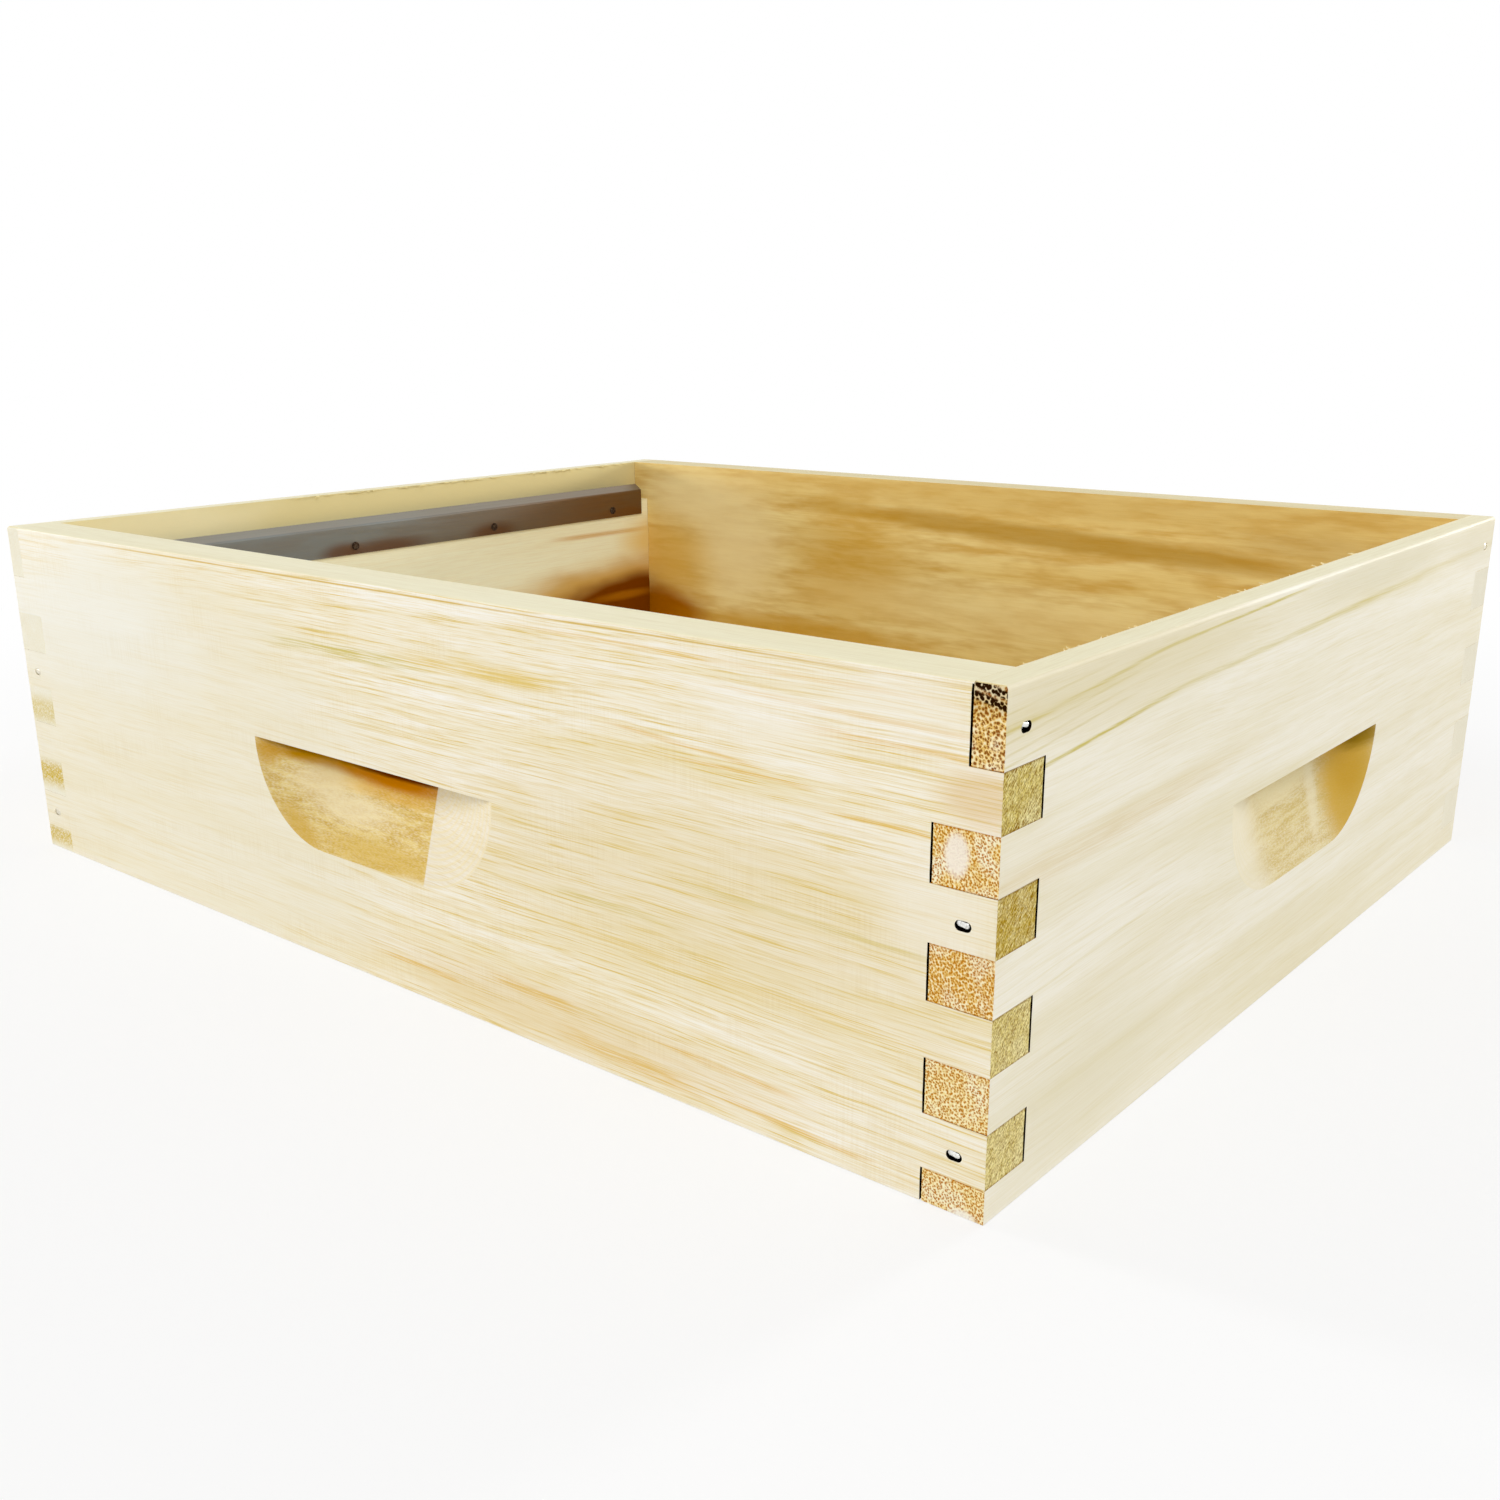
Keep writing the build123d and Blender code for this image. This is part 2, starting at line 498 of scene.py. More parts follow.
boards = {}
for number, (node, (kind, turn)) in enumerate(board_kinds.items()):
    open_end, open_gap = open_joints.get(node, (0, tight_gap))
    gaps = [open_gap if side == open_end else tight_gap for side in (-1, 1)]
    piece = make_board(node, kind, first_board_seed + number, gaps)
    sort_faces(piece, kind, open_end)
    smoothed(piece, scoop_sharp_angle)
    piece.data.transform(board_placement(turn, kind["reach"]))
    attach(piece, "root")
    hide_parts(node)
    boards[node] = piece
    low, high = (Vector(piece.bound_box[corner]) / mm for corner in (0, 6))
    print(node, "faces", len(piece.data.polygons), "from", tuple(low), "to", tuple(high))

# %% [markdown]
# ## Frame rests
#
# Each end board carries a strip of sheet steel. Its leg is tacked to the board's inner face, and its
# lip leans back over the rebate, where the ears of the frames hang. Sheet is bent over an edge, so
# the fold is a small arc, not a corner. The outline follows the middle of the sheet, is thickened
# on both sides and drawn out in short lengths that wave a little, because thin sheet never lies flat.

# %% Frame rests
rest_sheet = 0.8
rest_top_drop = 12.4
rest_leg_drop = 30.4
rest_lip_run = 4.6
rest_lip_rise = 3.1
rest_end_gap = 6.5
rest_fold = 1.3
rest_wave = 0.12
wave_count = 3
wave_lengths = (40, 130)
wave_starts = (0, 6)
rest_steps = 72
rest_length = box_width - 2 * board - 2 * rest_end_gap
first_rest_seed = 60
fold_sharp_angle = 40


def rest_outline(fold_steps=8):
    """Points round the sheet's section: distance in from the board's outer face, and height."""
    slope = math.atan2(rest_lip_rise, rest_lip_run)
    along_lip = Vector((-math.cos(slope), math.sin(slope)))
    up_leg = Vector((0, 1))
    half_turn = (math.pi / 2 - slope) / 2
    fold_height = box_height - rest_top_drop - rest_lip_rise - rest_sheet * math.cos(slope)
    corner = Vector((board + rest_sheet / 2, fold_height + rest_sheet / 2 * math.tan(half_turn)))
    lip_length = math.hypot(rest_lip_run, rest_lip_rise)
    setback = rest_fold * math.tan(half_turn)
    centre = corner - up_leg * setback + Vector((-rest_fold, 0))
    middle = [(Vector((corner.x, box_height - rest_leg_drop)), Vector((1, 0)))]
    for step in range(fold_steps + 1):
        turn = 2 * half_turn * step / fold_steps
        outward = Vector((math.cos(turn), math.sin(turn)))
        middle.append((centre + outward * rest_fold, outward))
    middle.append((corner + along_lip * lip_length, Vector((math.sin(slope), math.cos(slope)))))
    inner = [point + outward * rest_sheet / 2 for point, outward in middle]
    outer = [point - outward * rest_sheet / 2 for point, outward in middle]
    return inner + outer[::-1]


def make_rest(node, draw):
    outline = rest_outline()
    waves = [(draw.uniform(*wave_lengths), draw.uniform(*wave_starts)) for _ in range(wave_count)]
    shape = bmesh.new()
    rings = []
    for step in range(rest_steps + 1):
        along = rest_length * (step / rest_steps - 0.5)
        lean = sum(1 + math.sin(along / length + start) for length, start in waves) / (2 * len(waves))
        places = [Vector((along, deep + rest_wave * lean, level)) for deep, level in outline]
        rings.append([shape.verts.new(place * mm) for place in places])
    return smoothed(finished(node + "_steel", capped(shape, rings)), fold_sharp_angle)


rests = {}
for number, (node, turn) in enumerate({"right_frame_rest": 90, "left_frame_rest": 270}.items()):
    piece = make_rest(node, random.Random(first_rest_seed + number))
    piece.data.transform(board_placement(turn, half_length))
    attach(piece, "root")
    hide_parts(node)
    rests[node] = piece
    low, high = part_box(node)
    print(node, "solid from", tuple(low), "to", tuple(high))

# %% [markdown]
# ## Nails
#
# The corner nails have oblong heads that a nail gun drives a little below the surface. A head is a
# short oblong plug with a crowned top. It is smaller than its pocket, not quite in its middle, and
# askew, as driven nails are. At the open corner the heads sit loosely, so a dark crescent of shade
# shows beside each of them. At the other corners they nearly fill their pockets.

# %% Nails
nail_shank = 1.7
nail_length = 42.0
nail_tip = 3.0
tight_head = 0.1
loose_heads = {"front_right_side_nails": 0.5, "front_right_end_nail": 0.75}
head_crown = 0.34
crown_sink = 0.1
crown_draw = 0.7
head_offset = (-0.5, 0.6)
head_askew = (4, 14)
head_nod = (8, 14)
crown_steps = 5
shank_sides = 12
first_nail_seed = 80
head_sharp_angle = 45


def nail_layers(clearance):
    """Depth below the face and drawing-in of each ring of the head, from its foot to its crown."""
    thickest = nail_head_width / 2 - clearance
    layers = [(nail_foot, clearance)]
    for step in range(crown_steps + 1):
        turn = math.pi / 2 * step / crown_steps
        drawn_in = clearance + crown_draw * thickest * (1 - math.cos(turn))
        layers.append((nail_sink + crown_sink - head_crown * math.sin(turn), drawn_in))
    return layers


def add_nail(shape, placement, tilt, clearance):
    """Adds one nail, driven along +Y from a face at Y = 0, to a bmesh; only its head is tilted."""
    rings = []
    aside, above = (share * clearance for share in head_offset)
    for deep, shrink in nail_layers(clearance):
        places = [tilt @ (Vector((a + aside, deep, b + above)) * mm) for a, b in nail_outline(shrink)]
        rings.append([shape.verts.new(placement @ place) for place in places])
    capped(shape, rings)
    straight_end = nail_foot + nail_length - nail_tip
    for deep_from, deep_to, narrow in (
            (nail_foot, straight_end, nail_shank), (straight_end, nail_foot + nail_length, nail_shank / 4)):
        stem = bmesh.ops.create_cone(shape, cap_ends=True, segments=shank_sides, radius1=nail_shank / 2 * mm,
                                     radius2=narrow / 2 * mm, depth=(deep_to - deep_from) * mm)
        middle = Matrix.Translation((0, (deep_from + deep_to) / 2 * mm, 0))
        lay = middle @ Matrix.Rotation(-math.pi / 2, 4, "X")
        bmesh.ops.transform(shape, matrix=placement @ lay, verts=stem["verts"])


def head_tilt(draw, nod):
    """A head's turn about its own middle: askew on the face, and nodding so that one edge is deeper."""
    middle = Matrix.Translation((0, nail_sink * mm, 0))
    askew = Matrix.Rotation(math.radians(draw.uniform(*head_askew)), 4, "Y")
    nodding = Matrix.Rotation(math.radians(nod), 4, "X")
    return middle @ askew @ nodding @ middle.inverted()


def make_nails(node, turn, reach, places, draw):
    shape = bmesh.new()
    clearance = loose_heads.get(node, tight_head)
    for across, level in places:
        spot = Matrix.Translation((across * mm, 0, level * mm))
        tilt = head_tilt(draw, draw.uniform(*head_nod) * clearance)
        add_nail(shape, board_placement(turn, reach) @ spot, tilt, clearance)
    piece = smoothed(finished(node + "_steel", shape), head_sharp_angle)
    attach(piece, "root")
    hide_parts(node)
    return piece


nail_nodes = {
    "front_left_side_nails": ("front_side_board", -1), "front_right_side_nails": ("front_side_board", 1),
    "back_right_side_nails": ("back_side_board", -1), "back_left_side_nails": ("back_side_board", 1),
    "front_right_end_nail": ("right_end_board", -1), "back_right_end_nail": ("right_end_board", 1),
    "back_left_end_nail": ("left_end_board", -1), "front_left_end_nail": ("left_end_board", 1),
}
nails = {}
for number, (node, (board_node, board_end)) in enumerate(nail_nodes.items()):
    kind, turn = board_kinds[board_node]
    places = [(across, level) for across, level in kind["nails"] if across * board_end > 0]
    nails[node] = make_nails(node, turn, kind["reach"], places, random.Random(first_nail_seed + number))
print(len(nails), "groups of nails")

# %% [markdown]
# ## Short calls for finishes
#
# Every finish below is a node tree. Writing out each node and link would hide the idea, so two small
# classes help. A value stands for what a node gives at every point, and plain arithmetic on it adds
# the nodes that work it out. A finish holds a material and offers a few calls: measure a distance,
# make a noise that is stretched along the grain, turn a value into a soft mask, and lay one tone
# over another by a mask.

# %% Tones and values


def tone(red, green, blue):
    """A colour as read from a picture, 0 to 255, turned into the linear values that nodes take."""
    def linear(value):
        share = value / 255
        return share / 12.92 if share <= 0.04045 else ((share + 0.055) / 1.055) ** 2.4
    return linear(red), linear(green), linear(blue), 1.0


class Value:
    """What a node of a finish gives at every point."""

    def __init__(self, finish, socket):
        self.finish = finish
        self.socket = socket

    def __add__(self, other):
        return self.finish.work("ADD", self, other)

    def __sub__(self, other):
        return self.finish.work("SUBTRACT", self, other)

    def __rsub__(self, other):
        return self.finish.work("SUBTRACT", other, self)

    def __mul__(self, other):
        return self.finish.work("MULTIPLY", self, other)

    def __truediv__(self, other):
        return self.finish.work("DIVIDE", self, other)

    def __abs__(self):
        return self.finish.work("ABSOLUTE", self)


print("middle grey as nodes take it", tone(128, 128, 128))

# %% Finishes


class Finish:
    """A material, or the world round the object, with short calls for its nodes."""

    def __init__(self, name, owners=bpy.data.materials, shader="Principled BSDF"):
        self.owner = owners.new(name)
        self.owner.use_nodes = True
        self.tree = self.owner.node_tree
        self.shader = self.tree.nodes[shader]

    def put(self, value, socket):
        """Links a value to a socket, or sets a plain number or colour on it."""
        if isinstance(value, Value):
            self.tree.links.new(value.socket, socket)
        else:
            socket.default_value = value

    def node(self, kind, output, inputs, **settings):
        """Adds a node with its settings and inputs, and gives one of its outputs."""
        made = self.tree.nodes.new(kind)
        for key, setting in settings.items():
            setattr(made, key, setting)
        for key, value in inputs.items():
            self.put(value, made.inputs[key])
        return Value(self, made.outputs[output])

    def work(self, operation, first, second=0.0):
        """One step of arithmetic on two values."""
        return self.node("ShaderNodeMath", 0, {0: first, 1: second}, operation=operation)

    def diagonal(self, first, second):
        """The distance that two distances at right angles make up."""
        return self.work("SQRT", first * first + second * second)

    def spot(self):
        """The place of a point in the box, in metres."""
        return self.node("ShaderNodeTexCoord", "Object", {})

    def ruler(self, direction, start=0.0):
        """How far a point lies along a direction, in millimetres."""
        inputs = {0: self.spot(), 1: tuple(Vector(direction) / mm)}
        return self.node("ShaderNodeVectorMath", "Value", inputs, operation="DOT_PRODUCT") + start

    def axes(self):
        """The place of a point along each axis of the box, in millimetres."""
        return [self.ruler(way) for way in ((1, 0, 0), (0, 1, 0), (0, 0, 1))]

    def upward(self):
        """How squarely a surface faces up, from -1 to 1."""
        inputs = {0: self.node("ShaderNodeNewGeometry", "Normal", {}), 1: (0, 0, 1)}
        return self.node("ShaderNodeVectorMath", "Value", inputs, operation="DOT_PRODUCT")

    def mask(self, value, none, full, most=1.0):
        """0 where the value is at none, rising softly to most where it is at full."""
        inputs = {0: value, 1: none, 2: full, 3: 0.0, 4: most}
        return self.node("ShaderNodeMapRange", 0, inputs, interpolation_type="SMOOTHSTEP")

    def blend(self, amount, first, second, how="MIX"):
        """Two colours mixed by an amount."""
        inputs = {0: amount, 6: first, 7: second}
        return self.node("ShaderNodeMix", 2, inputs, data_type="RGBA", blend_type=how)

    def layered(self, colour, layers):
        """A colour with further ones laid over it, each by its amount."""
        for amount, layer_tone in layers:
            colour = self.blend(amount, colour, layer_tone)
        return colour

    def spread(self, axes, sizes, shift):
        """Coordinates in which one step on each axis is as long as the size given for it."""
        scaled = [axis / size for axis, size in zip(axes, sizes)]
        scaled[0] += shift
        return self.node("ShaderNodeCombineXYZ", 0, dict(enumerate(scaled)))

    def noise(self, axes, sizes, shift=0.0, detail=2.0, roughness=0.5):
        inputs = {"Vector": self.spread(axes, sizes, shift), "Scale": 1.0, "Detail": detail,
                  "Roughness": roughness}
        return self.node("ShaderNodeTexNoise", 0, inputs)

    def cells(self, axes, sizes, shift=0.0):
        """Distance from the middle of the nearest of many cells strewn over two axes."""
        inputs = {"Vector": self.spread(axes, sizes, shift), "Scale": 1.0}
        return self.node("ShaderNodeTexVoronoi", "Distance", inputs, voronoi_dimensions="2D")

    def bump(self, height, depth, strength):
        """Surface relief from a height between 0 and 1; depth in millimetres."""
        inputs = {"Height": height, "Distance": depth * mm, "Strength": strength}
        self.dress({"Normal": self.node("ShaderNodeBump", 0, inputs)})

    def dress(self, inputs):
        """Sets or links inputs of the shader by their names."""
        for key, value in inputs.items():
            self.put(value, self.shader.inputs[key])
        return self.owner


print("calls of a finish:", [name for name in vars(Finish) if not name.startswith("_")])

# %% [markdown]
# ## Wood
#
# The boards are a pale, light wood with soft streaks, thin darker growth lines and open pores. The finish is
# solid: it is worked out from the place inside the board, so the fibres that run along a face come out as
# dots on the end of a finger. Each kind of surface has a finish of its own and takes only the layers that it
# needs. Marks that give a board its own face are soft bands and ovals, listed further down by place; some of
# the ovals are painted light and shade.

# %% Place in a board, bands and ovals
waver_reach = 0.5
streak_fade = 0.3
streak_core = 0.15
spot_unevenness = 0.4


def plank_axes(name, look):
    """Starts a finish that knows its place in a board: along it, in from its face and up it."""
    wood = Finish(name)
    spin = Matrix.Rotation(math.radians(look["turn"]), 3, "Z")
    wood.along = wood.ruler(spin @ Vector((1, 0, 0)))
    wood.deep = wood.ruler(spin @ Vector((0, 1, 0)), look["reach"])
    wood.up = wood.ruler((0, 0, 1))
    wood.place = (wood.along, wood.deep, wood.up)
    wood.waver = wood.noise(wood.place, (40, 18, 14), look["shift"])
    sway = (wood.noise(wood.place, (170, 80, 60), look["shift"]) - 0.5) * look["sway"]
    level = wood.up + (wood.waver - 0.5) * waver_reach
    wood.drop = box_height - level
    wood.fibres = (wood.along, wood.deep + sway, level + sway)
    return wood


def streak_mask(wood, start, stop, first_drop, last_drop, width):
    """A soft band along the board; its drop below the top edge goes from the first to the last."""
    inputs = {0: wood.along, 1: start, 2: stop, 3: first_drop, 4: last_drop}
    middle = wood.node("ShaderNodeMapRange", 0, inputs)
    fade = (stop - start) * streak_fade
    ends = wood.mask(wood.along, start, start + fade) * wood.mask(wood.along, stop, stop - fade)
    return wood.mask(abs(wood.drop - middle), width, streak_core * width) * ends


def spot_mask(wood, across, down, rough_edge, middle, half_size, turn=0.0, core=0.25):
    """A soft oval spot with a full core, turned by an angle in degrees."""
    cosine, sine = math.cos(math.radians(turn)), math.sin(math.radians(turn))
    beside = across - middle[0]
    below = down - middle[1]
    wide = (beside * cosine + below * sine) / half_size[0]
    tall = (below * cosine - beside * sine) / half_size[1]
    return wood.mask(wood.diagonal(wide, tall) + (rough_edge - 0.5) * spot_unevenness, 1.0, core)


def spot_layers(wood, across, down, rough_edge, spots, within=1.0):
    """A layer of colour for each spot of a list, where a further mask lets it show."""
    layers = []
    for spot_tone, amount, *oval in spots:
        layers.append((spot_mask(wood, across, down, rough_edge, *oval) * within * amount, spot_tone))
    return layers


print("bands and ovals ready")

# %% Grain and long faces
planed_tone = tone(244, 238, 224)
rubbed_tone = tone(214, 180, 84)
rubbed_stretch = (-240.0, -100.0)
rubbed_drop = 1.4 * top_ease
relief_depth, relief_strength = 0.16, 0.6
least_rough, more_rough = 0.56, 0.16


def growth_lines(wood, look):
    """Lines where rings round the heart of the tree meet the face; some years show, others don't."""
    along, deep, up = wood.fibres
    heart_deep, heart_up = look["heart"]
    radius = wood.diagonal(deep - heart_deep, up - heart_up) + along * look["lean"]
    age = radius / look["ring"]
    season = wood.work("FRACT", age)
    seed = wood.work("FLOOR", age) + look["shift"]
    year = wood.node("ShaderNodeTexWhiteNoise", 0, {"W": seed}, noise_dimensions="1D")
    return wood.mask(season, 0.0, 0.06) * wood.mask(season, 0.5, 0.06) * wood.mask(year, 0.2, 0.95)


def grain_colour(wood, look, face):
    """The colour of a long face: clouds, soft streaks, blotches and thin lines, then its own marks."""
    shift = look["shift"]
    pale, warm, dark = face["tones"]
    cloud = wood.noise(wood.fibres, (240, 26, 15), shift)
    mottle = wood.noise(wood.fibres, (40, 10, 7), shift, detail=3.0, roughness=0.6)
    hair = wood.noise(wood.fibres, (36, 0.8, 0.44), shift, detail=3.0, roughness=0.7)
    wood.streak = wood.noise(wood.fibres, (120, 3.2, 1.7), shift, detail=3.0, roughness=0.65)
    wood.fibre = wood.noise(wood.fibres, (15, 0.5, 0.34), shift, detail=1.0)
    crowded = wood.mask(wood.streak, 0.35, 0.62, 0.75) + 0.25
    ragged = wood.mask(hair, 0.36, 0.6, face["ragged"]) + (1 - face["ragged"])
    layers = [
        (wood.mask(cloud, 0.36, 0.7, face["cloudy"]), warm),
        (wood.mask(wood.streak, 0.42, 0.72, face["streaky"]), warm),
        (wood.mask(mottle, 0.36, 0.72, face["mottled"]), dark),
        (growth_lines(wood, look) * wood.mask(wood.streak, 0.3, 0.62, face["lined"]), dark),
        (wood.mask(hair, 0.46, 0.68, face["hairy"]) * crowded, dark),
        (wood.mask(wood.fibre, 0.6, 0.3, face["fibrous"]), dark),
    ]
    for streak_tone, amount, *course in face["streaks"]:
        layers.append((streak_mask(wood, *course) * ragged * amount, streak_tone))
    layers += spot_layers(wood, wood.along, wood.drop, wood.waver, face["spots"])
    return wood.layered(pale, layers)


def finish_wood(wood, colour, relief, gloss):
    """Sets the colour, the dull uneven gloss of bare planed wood, and the relief."""
    wood.bump(relief, relief_depth, relief_strength)
    rough = wood.mask(relief, 0.2, 0.8, more_rough) + least_rough
    return wood.dress({"Base Color": colour, "Roughness": rough, "Specular IOR Level": gloss})


def face_finish(name, look, face):
    """A long face: its grain, the faint marks of the planer, and a worn line along its top edge."""
    wood = plank_axes(name, look)
    colour = grain_colour(wood, look, face)
    planed = wood.noise((wood.along, wood.up, wood.deep), look["planed"], look["shift"], detail=1.0)
    marks = wood.mask(planed, 0.4, 0.66) * wood.mask(wood.waver, 0.42, 0.66, face["marked"])
    colour = wood.blend(marks, colour, planed_tone, "MULTIPLY")
    edge = abs(wood.up - (box_height - rubbed_drop))
    worn = wood.mask(wood.along, *rubbed_stretch) * wood.mask(wood.streak, 0.3, 0.5, face["rubbed"])
    colour = wood.blend(wood.mask(edge, 0.5, 0.1) * worn, colour, rubbed_tone)
    relief = wood.fibre * 0.5 + planed * face["marked"]
    return finish_wood(wood, colour, relief, face["gloss"])


print("long faces ready")

# %% [markdown]
# ## Sawn ends
#
# The end of a finger shows cut fibres: a close field of pores, paler flecks between them and the slanting
# marks of the saw. Painted shade darkens the edges of the fingers, next to the joint gaps. The saw ran hot in
# one top finger and left two burnt rows there.

# %% Sawn ends
charred_tone = tone(150, 108, 24)
hot_pore_tone = tone(134, 70, 0)
burnt_tone = tone(40, 18, 2)
faded_tone = tone(204, 182, 130)
burnt_rows = (2.6, 5.6)
burnt_slope = 0.24
top_finger_fade = (30.0, 26.0)
charred_fade = (11.0, 5.0)
glue_fade = (ledge + 4.0, ledge + 2.0)
far_along = 10.0


def sawn_end_finish(name, look):
    """A sawn end: dots where the fibres are cut, slanting saw marks, and painted shade at the finger edges.
    """
    wood = plank_axes(name, look)
    shift, end = look["shift"], look["end"]
    dark, mid, light = end["tones"]
    turn = math.radians(end["saw_turn"])
    across = wood.deep * math.sin(turn) - wood.up * math.cos(turn)
    down = wood.deep * math.cos(turn) + wood.up * math.sin(turn)
    patch = wood.noise(wood.place, (60, 8, 8), shift)
    grain = wood.noise(wood.place, (40, 0.7, 0.7), shift)
    saw = wood.noise((across, down, wood.along), (0.3, 2.4, 60), shift, detail=3.0)
    near_end = wood.mask(wood.along, 0.0, -far_along)
    top_finger = wood.mask(wood.drop, *top_finger_fade) * near_end * end["scorched"]
    fine_dots = wood.cells((across, down, 0.0), (0.66, 0.76, 1.0), shift)
    wide_dots = wood.cells((across, down, 0.0), (0.92, 1.04, 1.0), shift)
    dots = fine_dots + (wide_dots - fine_dots) * top_finger
    pores = wood.mask(dots, 0.5, 0.3) * wood.mask(grain, 0.34, 0.54, end["porous"])
    layers = [
        (wood.mask(patch, 0.3, 0.56, 0.85), mid),
        (wood.mask(saw, 0.52, 0.42, end["sawn"]), dark),
        (wood.mask(saw, 0.53, 0.61, end["sawn"]), light),
    ]
    for streak_tone, amount, *course in end["streaks"]:
        layers.append((streak_mask(wood, *course) * wood.mask(grain, 0.75, 0.4, amount), streak_tone))
    layers += [
        (wood.mask(dots, 0.5, 0.75, end["flecked"]), light),
        (wood.mask(wood.drop, *charred_fade) * top_finger * 0.35, charred_tone),
        (pores, wood.blend(top_finger, end["pore"], hot_pore_tone)),
    ]
    slanted = box_height - wood.up + wood.deep * burnt_slope
    for middle in burnt_rows:
        row = wood.mask(abs(slanted - middle), 1.5, 0.7)
        layers.append((row * wood.mask(dots, 0.7, 0.45) * top_finger, burnt_tone))
    # A band of painted shade along the edges of the fingers, below the ledge.
    gap = wood.work("PINGPONG", (ledge - wood.up) / finger, 0.5) * finger
    below_ledge = wood.mask(wood.up, *glue_fade)
    glue = wood.mask(gap, 0.65, 0.15) * wood.mask(grain, 0.3, 0.55, end["glue"]) * below_ledge
    layers.append((glue, end["pore"]))
    layers += spot_layers(wood, wood.deep, wood.drop, grain, end["dabs"], near_end)
    layers.append((wood.mask(wood.along, 0.0, far_along, end["faded"]), faded_tone))
    relief = saw * 0.5 + (grain - pores)
    return finish_wood(wood, wood.layered(light, layers), relief, 0.0)


print("sawn ends ready")

# %% [markdown]
# ## Handholds and seams
#
# A handhold is painted golden and darker where its hollow lies in shade, with a painted shadow under its
# upper edge and spots of darker painted shade and paler painted light. The end that faces a lamp stays clean,
# and the cutter's rings still show there. The seams and pockets only need the brown painted shade of a narrow
# gap, with a little dust in it.

# %% Handholds and seams
ring_spacing = 2.3
dust_tone = tone(70, 44, 16)


def scoop_finish(name, look):
    """The handhold: painted golden and darker as painted shade, with ovals of painted shadow, shade and
    light, but for the clean end that faces a lamp.
    """
    wood = plank_axes(name, look)
    hold = look["hold"]
    colour = grain_colour(wood, look, look["outer"])
    aside = wood.along - hold["offset"]
    below = hold_top - wood.up
    clean_from, clean_to = hold["clean"]
    # The shaded part, away from the lamp, is painted golden and darker as painted shade; the rest is the
    # clean end.
    shaded_part = wood.mask(aside * hold["clean_side"] + below * hold["slant"], clean_to, clean_from)
    flat_place = (wood.along, wood.up, wood.deep)
    mottle = wood.noise(flat_place, hold["strokes"], look["shift"], detail=4.0, roughness=0.65)
    fleck = wood.noise(flat_place, (1.6, 0.5, 30), look["shift"])
    gold = wood.blend(wood.mask(mottle, 0.36, 0.64), *hold["gold"])
    speckle = shaded_part * (wood.mask(fleck, 0.34, 0.62, 0.4) + 0.6)
    corner = abs(aside) - hold_flat / 2
    ring = wood.work("PINGPONG", wood.diagonal(corner, below) / ring_spacing, 0.5)
    arcs = ring * wood.mask(corner, 0.0, 2.0) * (1.0 - shaded_part * 0.8)
    layers = [(speckle * hold["rubbed"], gold)]
    layers += spot_layers(wood, aside, below, mottle, hold["spots"], shaded_part)
    layers.append(((1.0 - shaded_part) * hold["clean_shade"], hold["clean_tone"]))
    layers.append((wood.mask(arcs, 0.2, 0.5, 0.5), look["outer"]["tones"][1]))
    relief = wood.fibre * 0.5 + arcs * 0.4
    return finish_wood(wood, wood.layered(colour, layers), relief, 0.0)


def shade_finish(name, upright_tone, level_tone):
    """Painted shade for a narrow gap, with specks of dust; level faces can have a tone of their own."""
    shade = Finish(name)
    dust = shade.noise(shade.axes(), (2, 2, 2))
    layers = [
        (shade.mask(abs(shade.upward()), 0.3, 0.7), level_tone),
        (shade.mask(dust, 0.5, 0.8, 0.3), dust_tone),
    ]
    shade.bump(dust, 0.2, 0.5)
    colour = shade.layered(upright_tone, layers)
    return shade.dress({"Base Color": colour, "Roughness": 0.9, "Specular IOR Level": 0.0})


print("handholds and seams ready")

# %% [markdown]
# ## Four boards, four looks
#
# Every board is cut from another tree. The front board is nearly white with tan streaks, the right
# end is cream with two olive growth lines near its top edge, and the insides are more golden. The
# sawn ends of the front board are olive. Those of the right end board are orange and full of pores
# at the near corner and faded at the other.
#
# A streak is written as its tone, its amount, where it starts and stops along the board, its drop
# below the top edge at both places, and its half width. A spot is written as its tone, its amount,
# its middle, its half size and, where they matter, its turn and its core. Dabs on the sawn ends are
# written like spots. Words such as cloudy or porous are shares, from 0 to 1, by which a layer shows.

# %% Marks on the long faces
tan = tone(228, 200, 116)
olive = tone(210, 192, 102)
ochre = tone(226, 186, 84)
moss = tone(202, 184, 70)
amber = tone(200, 146, 30)
brown = tone(124, 62, 0)
front_streaks = [
    (olive, 0.9, -80, 46, 26, 26, 4.0), (tan, 0.9, 10, 110, 24, 22.5, 4.0),
    (ochre, 0.9, 140, 200, 36.5, 37, 1.0), (ochre, 0.7, 110, 185, 30, 35, 1.2),
    (ochre, 0.8, 180, 262, 20, 21, 2.0), (ochre, 0.8, 190, 262, 42, 43, 1.4),
    (ochre, 0.6, 60, 262, 5.5, 7, 1.4), (ochre, 0.7, 150, 262, 13, 15, 1.4),
    (olive, 0.6, 80, 150, 90, 90, 2.4), (olive, 0.5, 130, 262, 75, 77, 2.0),
    (tan, 0.6, 60, 262, 100, 104, 3.0), (ochre, 1.0, 52, 104, 129, 131, 3.4),
    (ochre, 1.0, 126, 196, 130.5, 132.5, 1.6), (ochre, 0.9, 80, 160, 139, 143, 4.0),
    (ochre, 0.9, -8, 48, 136.4, 136.8, 1.8), (ochre, 0.8, 150, 225, 141, 143, 1.6),
    (tan, 0.9, -215, -125, 124, 128, 2.4), (tan, 0.75, -70, -15, 123, 123, 2.0),
    (tan, 0.7, -250, -60, 44, 48, 2.0), (tan, 0.6, -240, -90, 92, 96, 2.6),
]
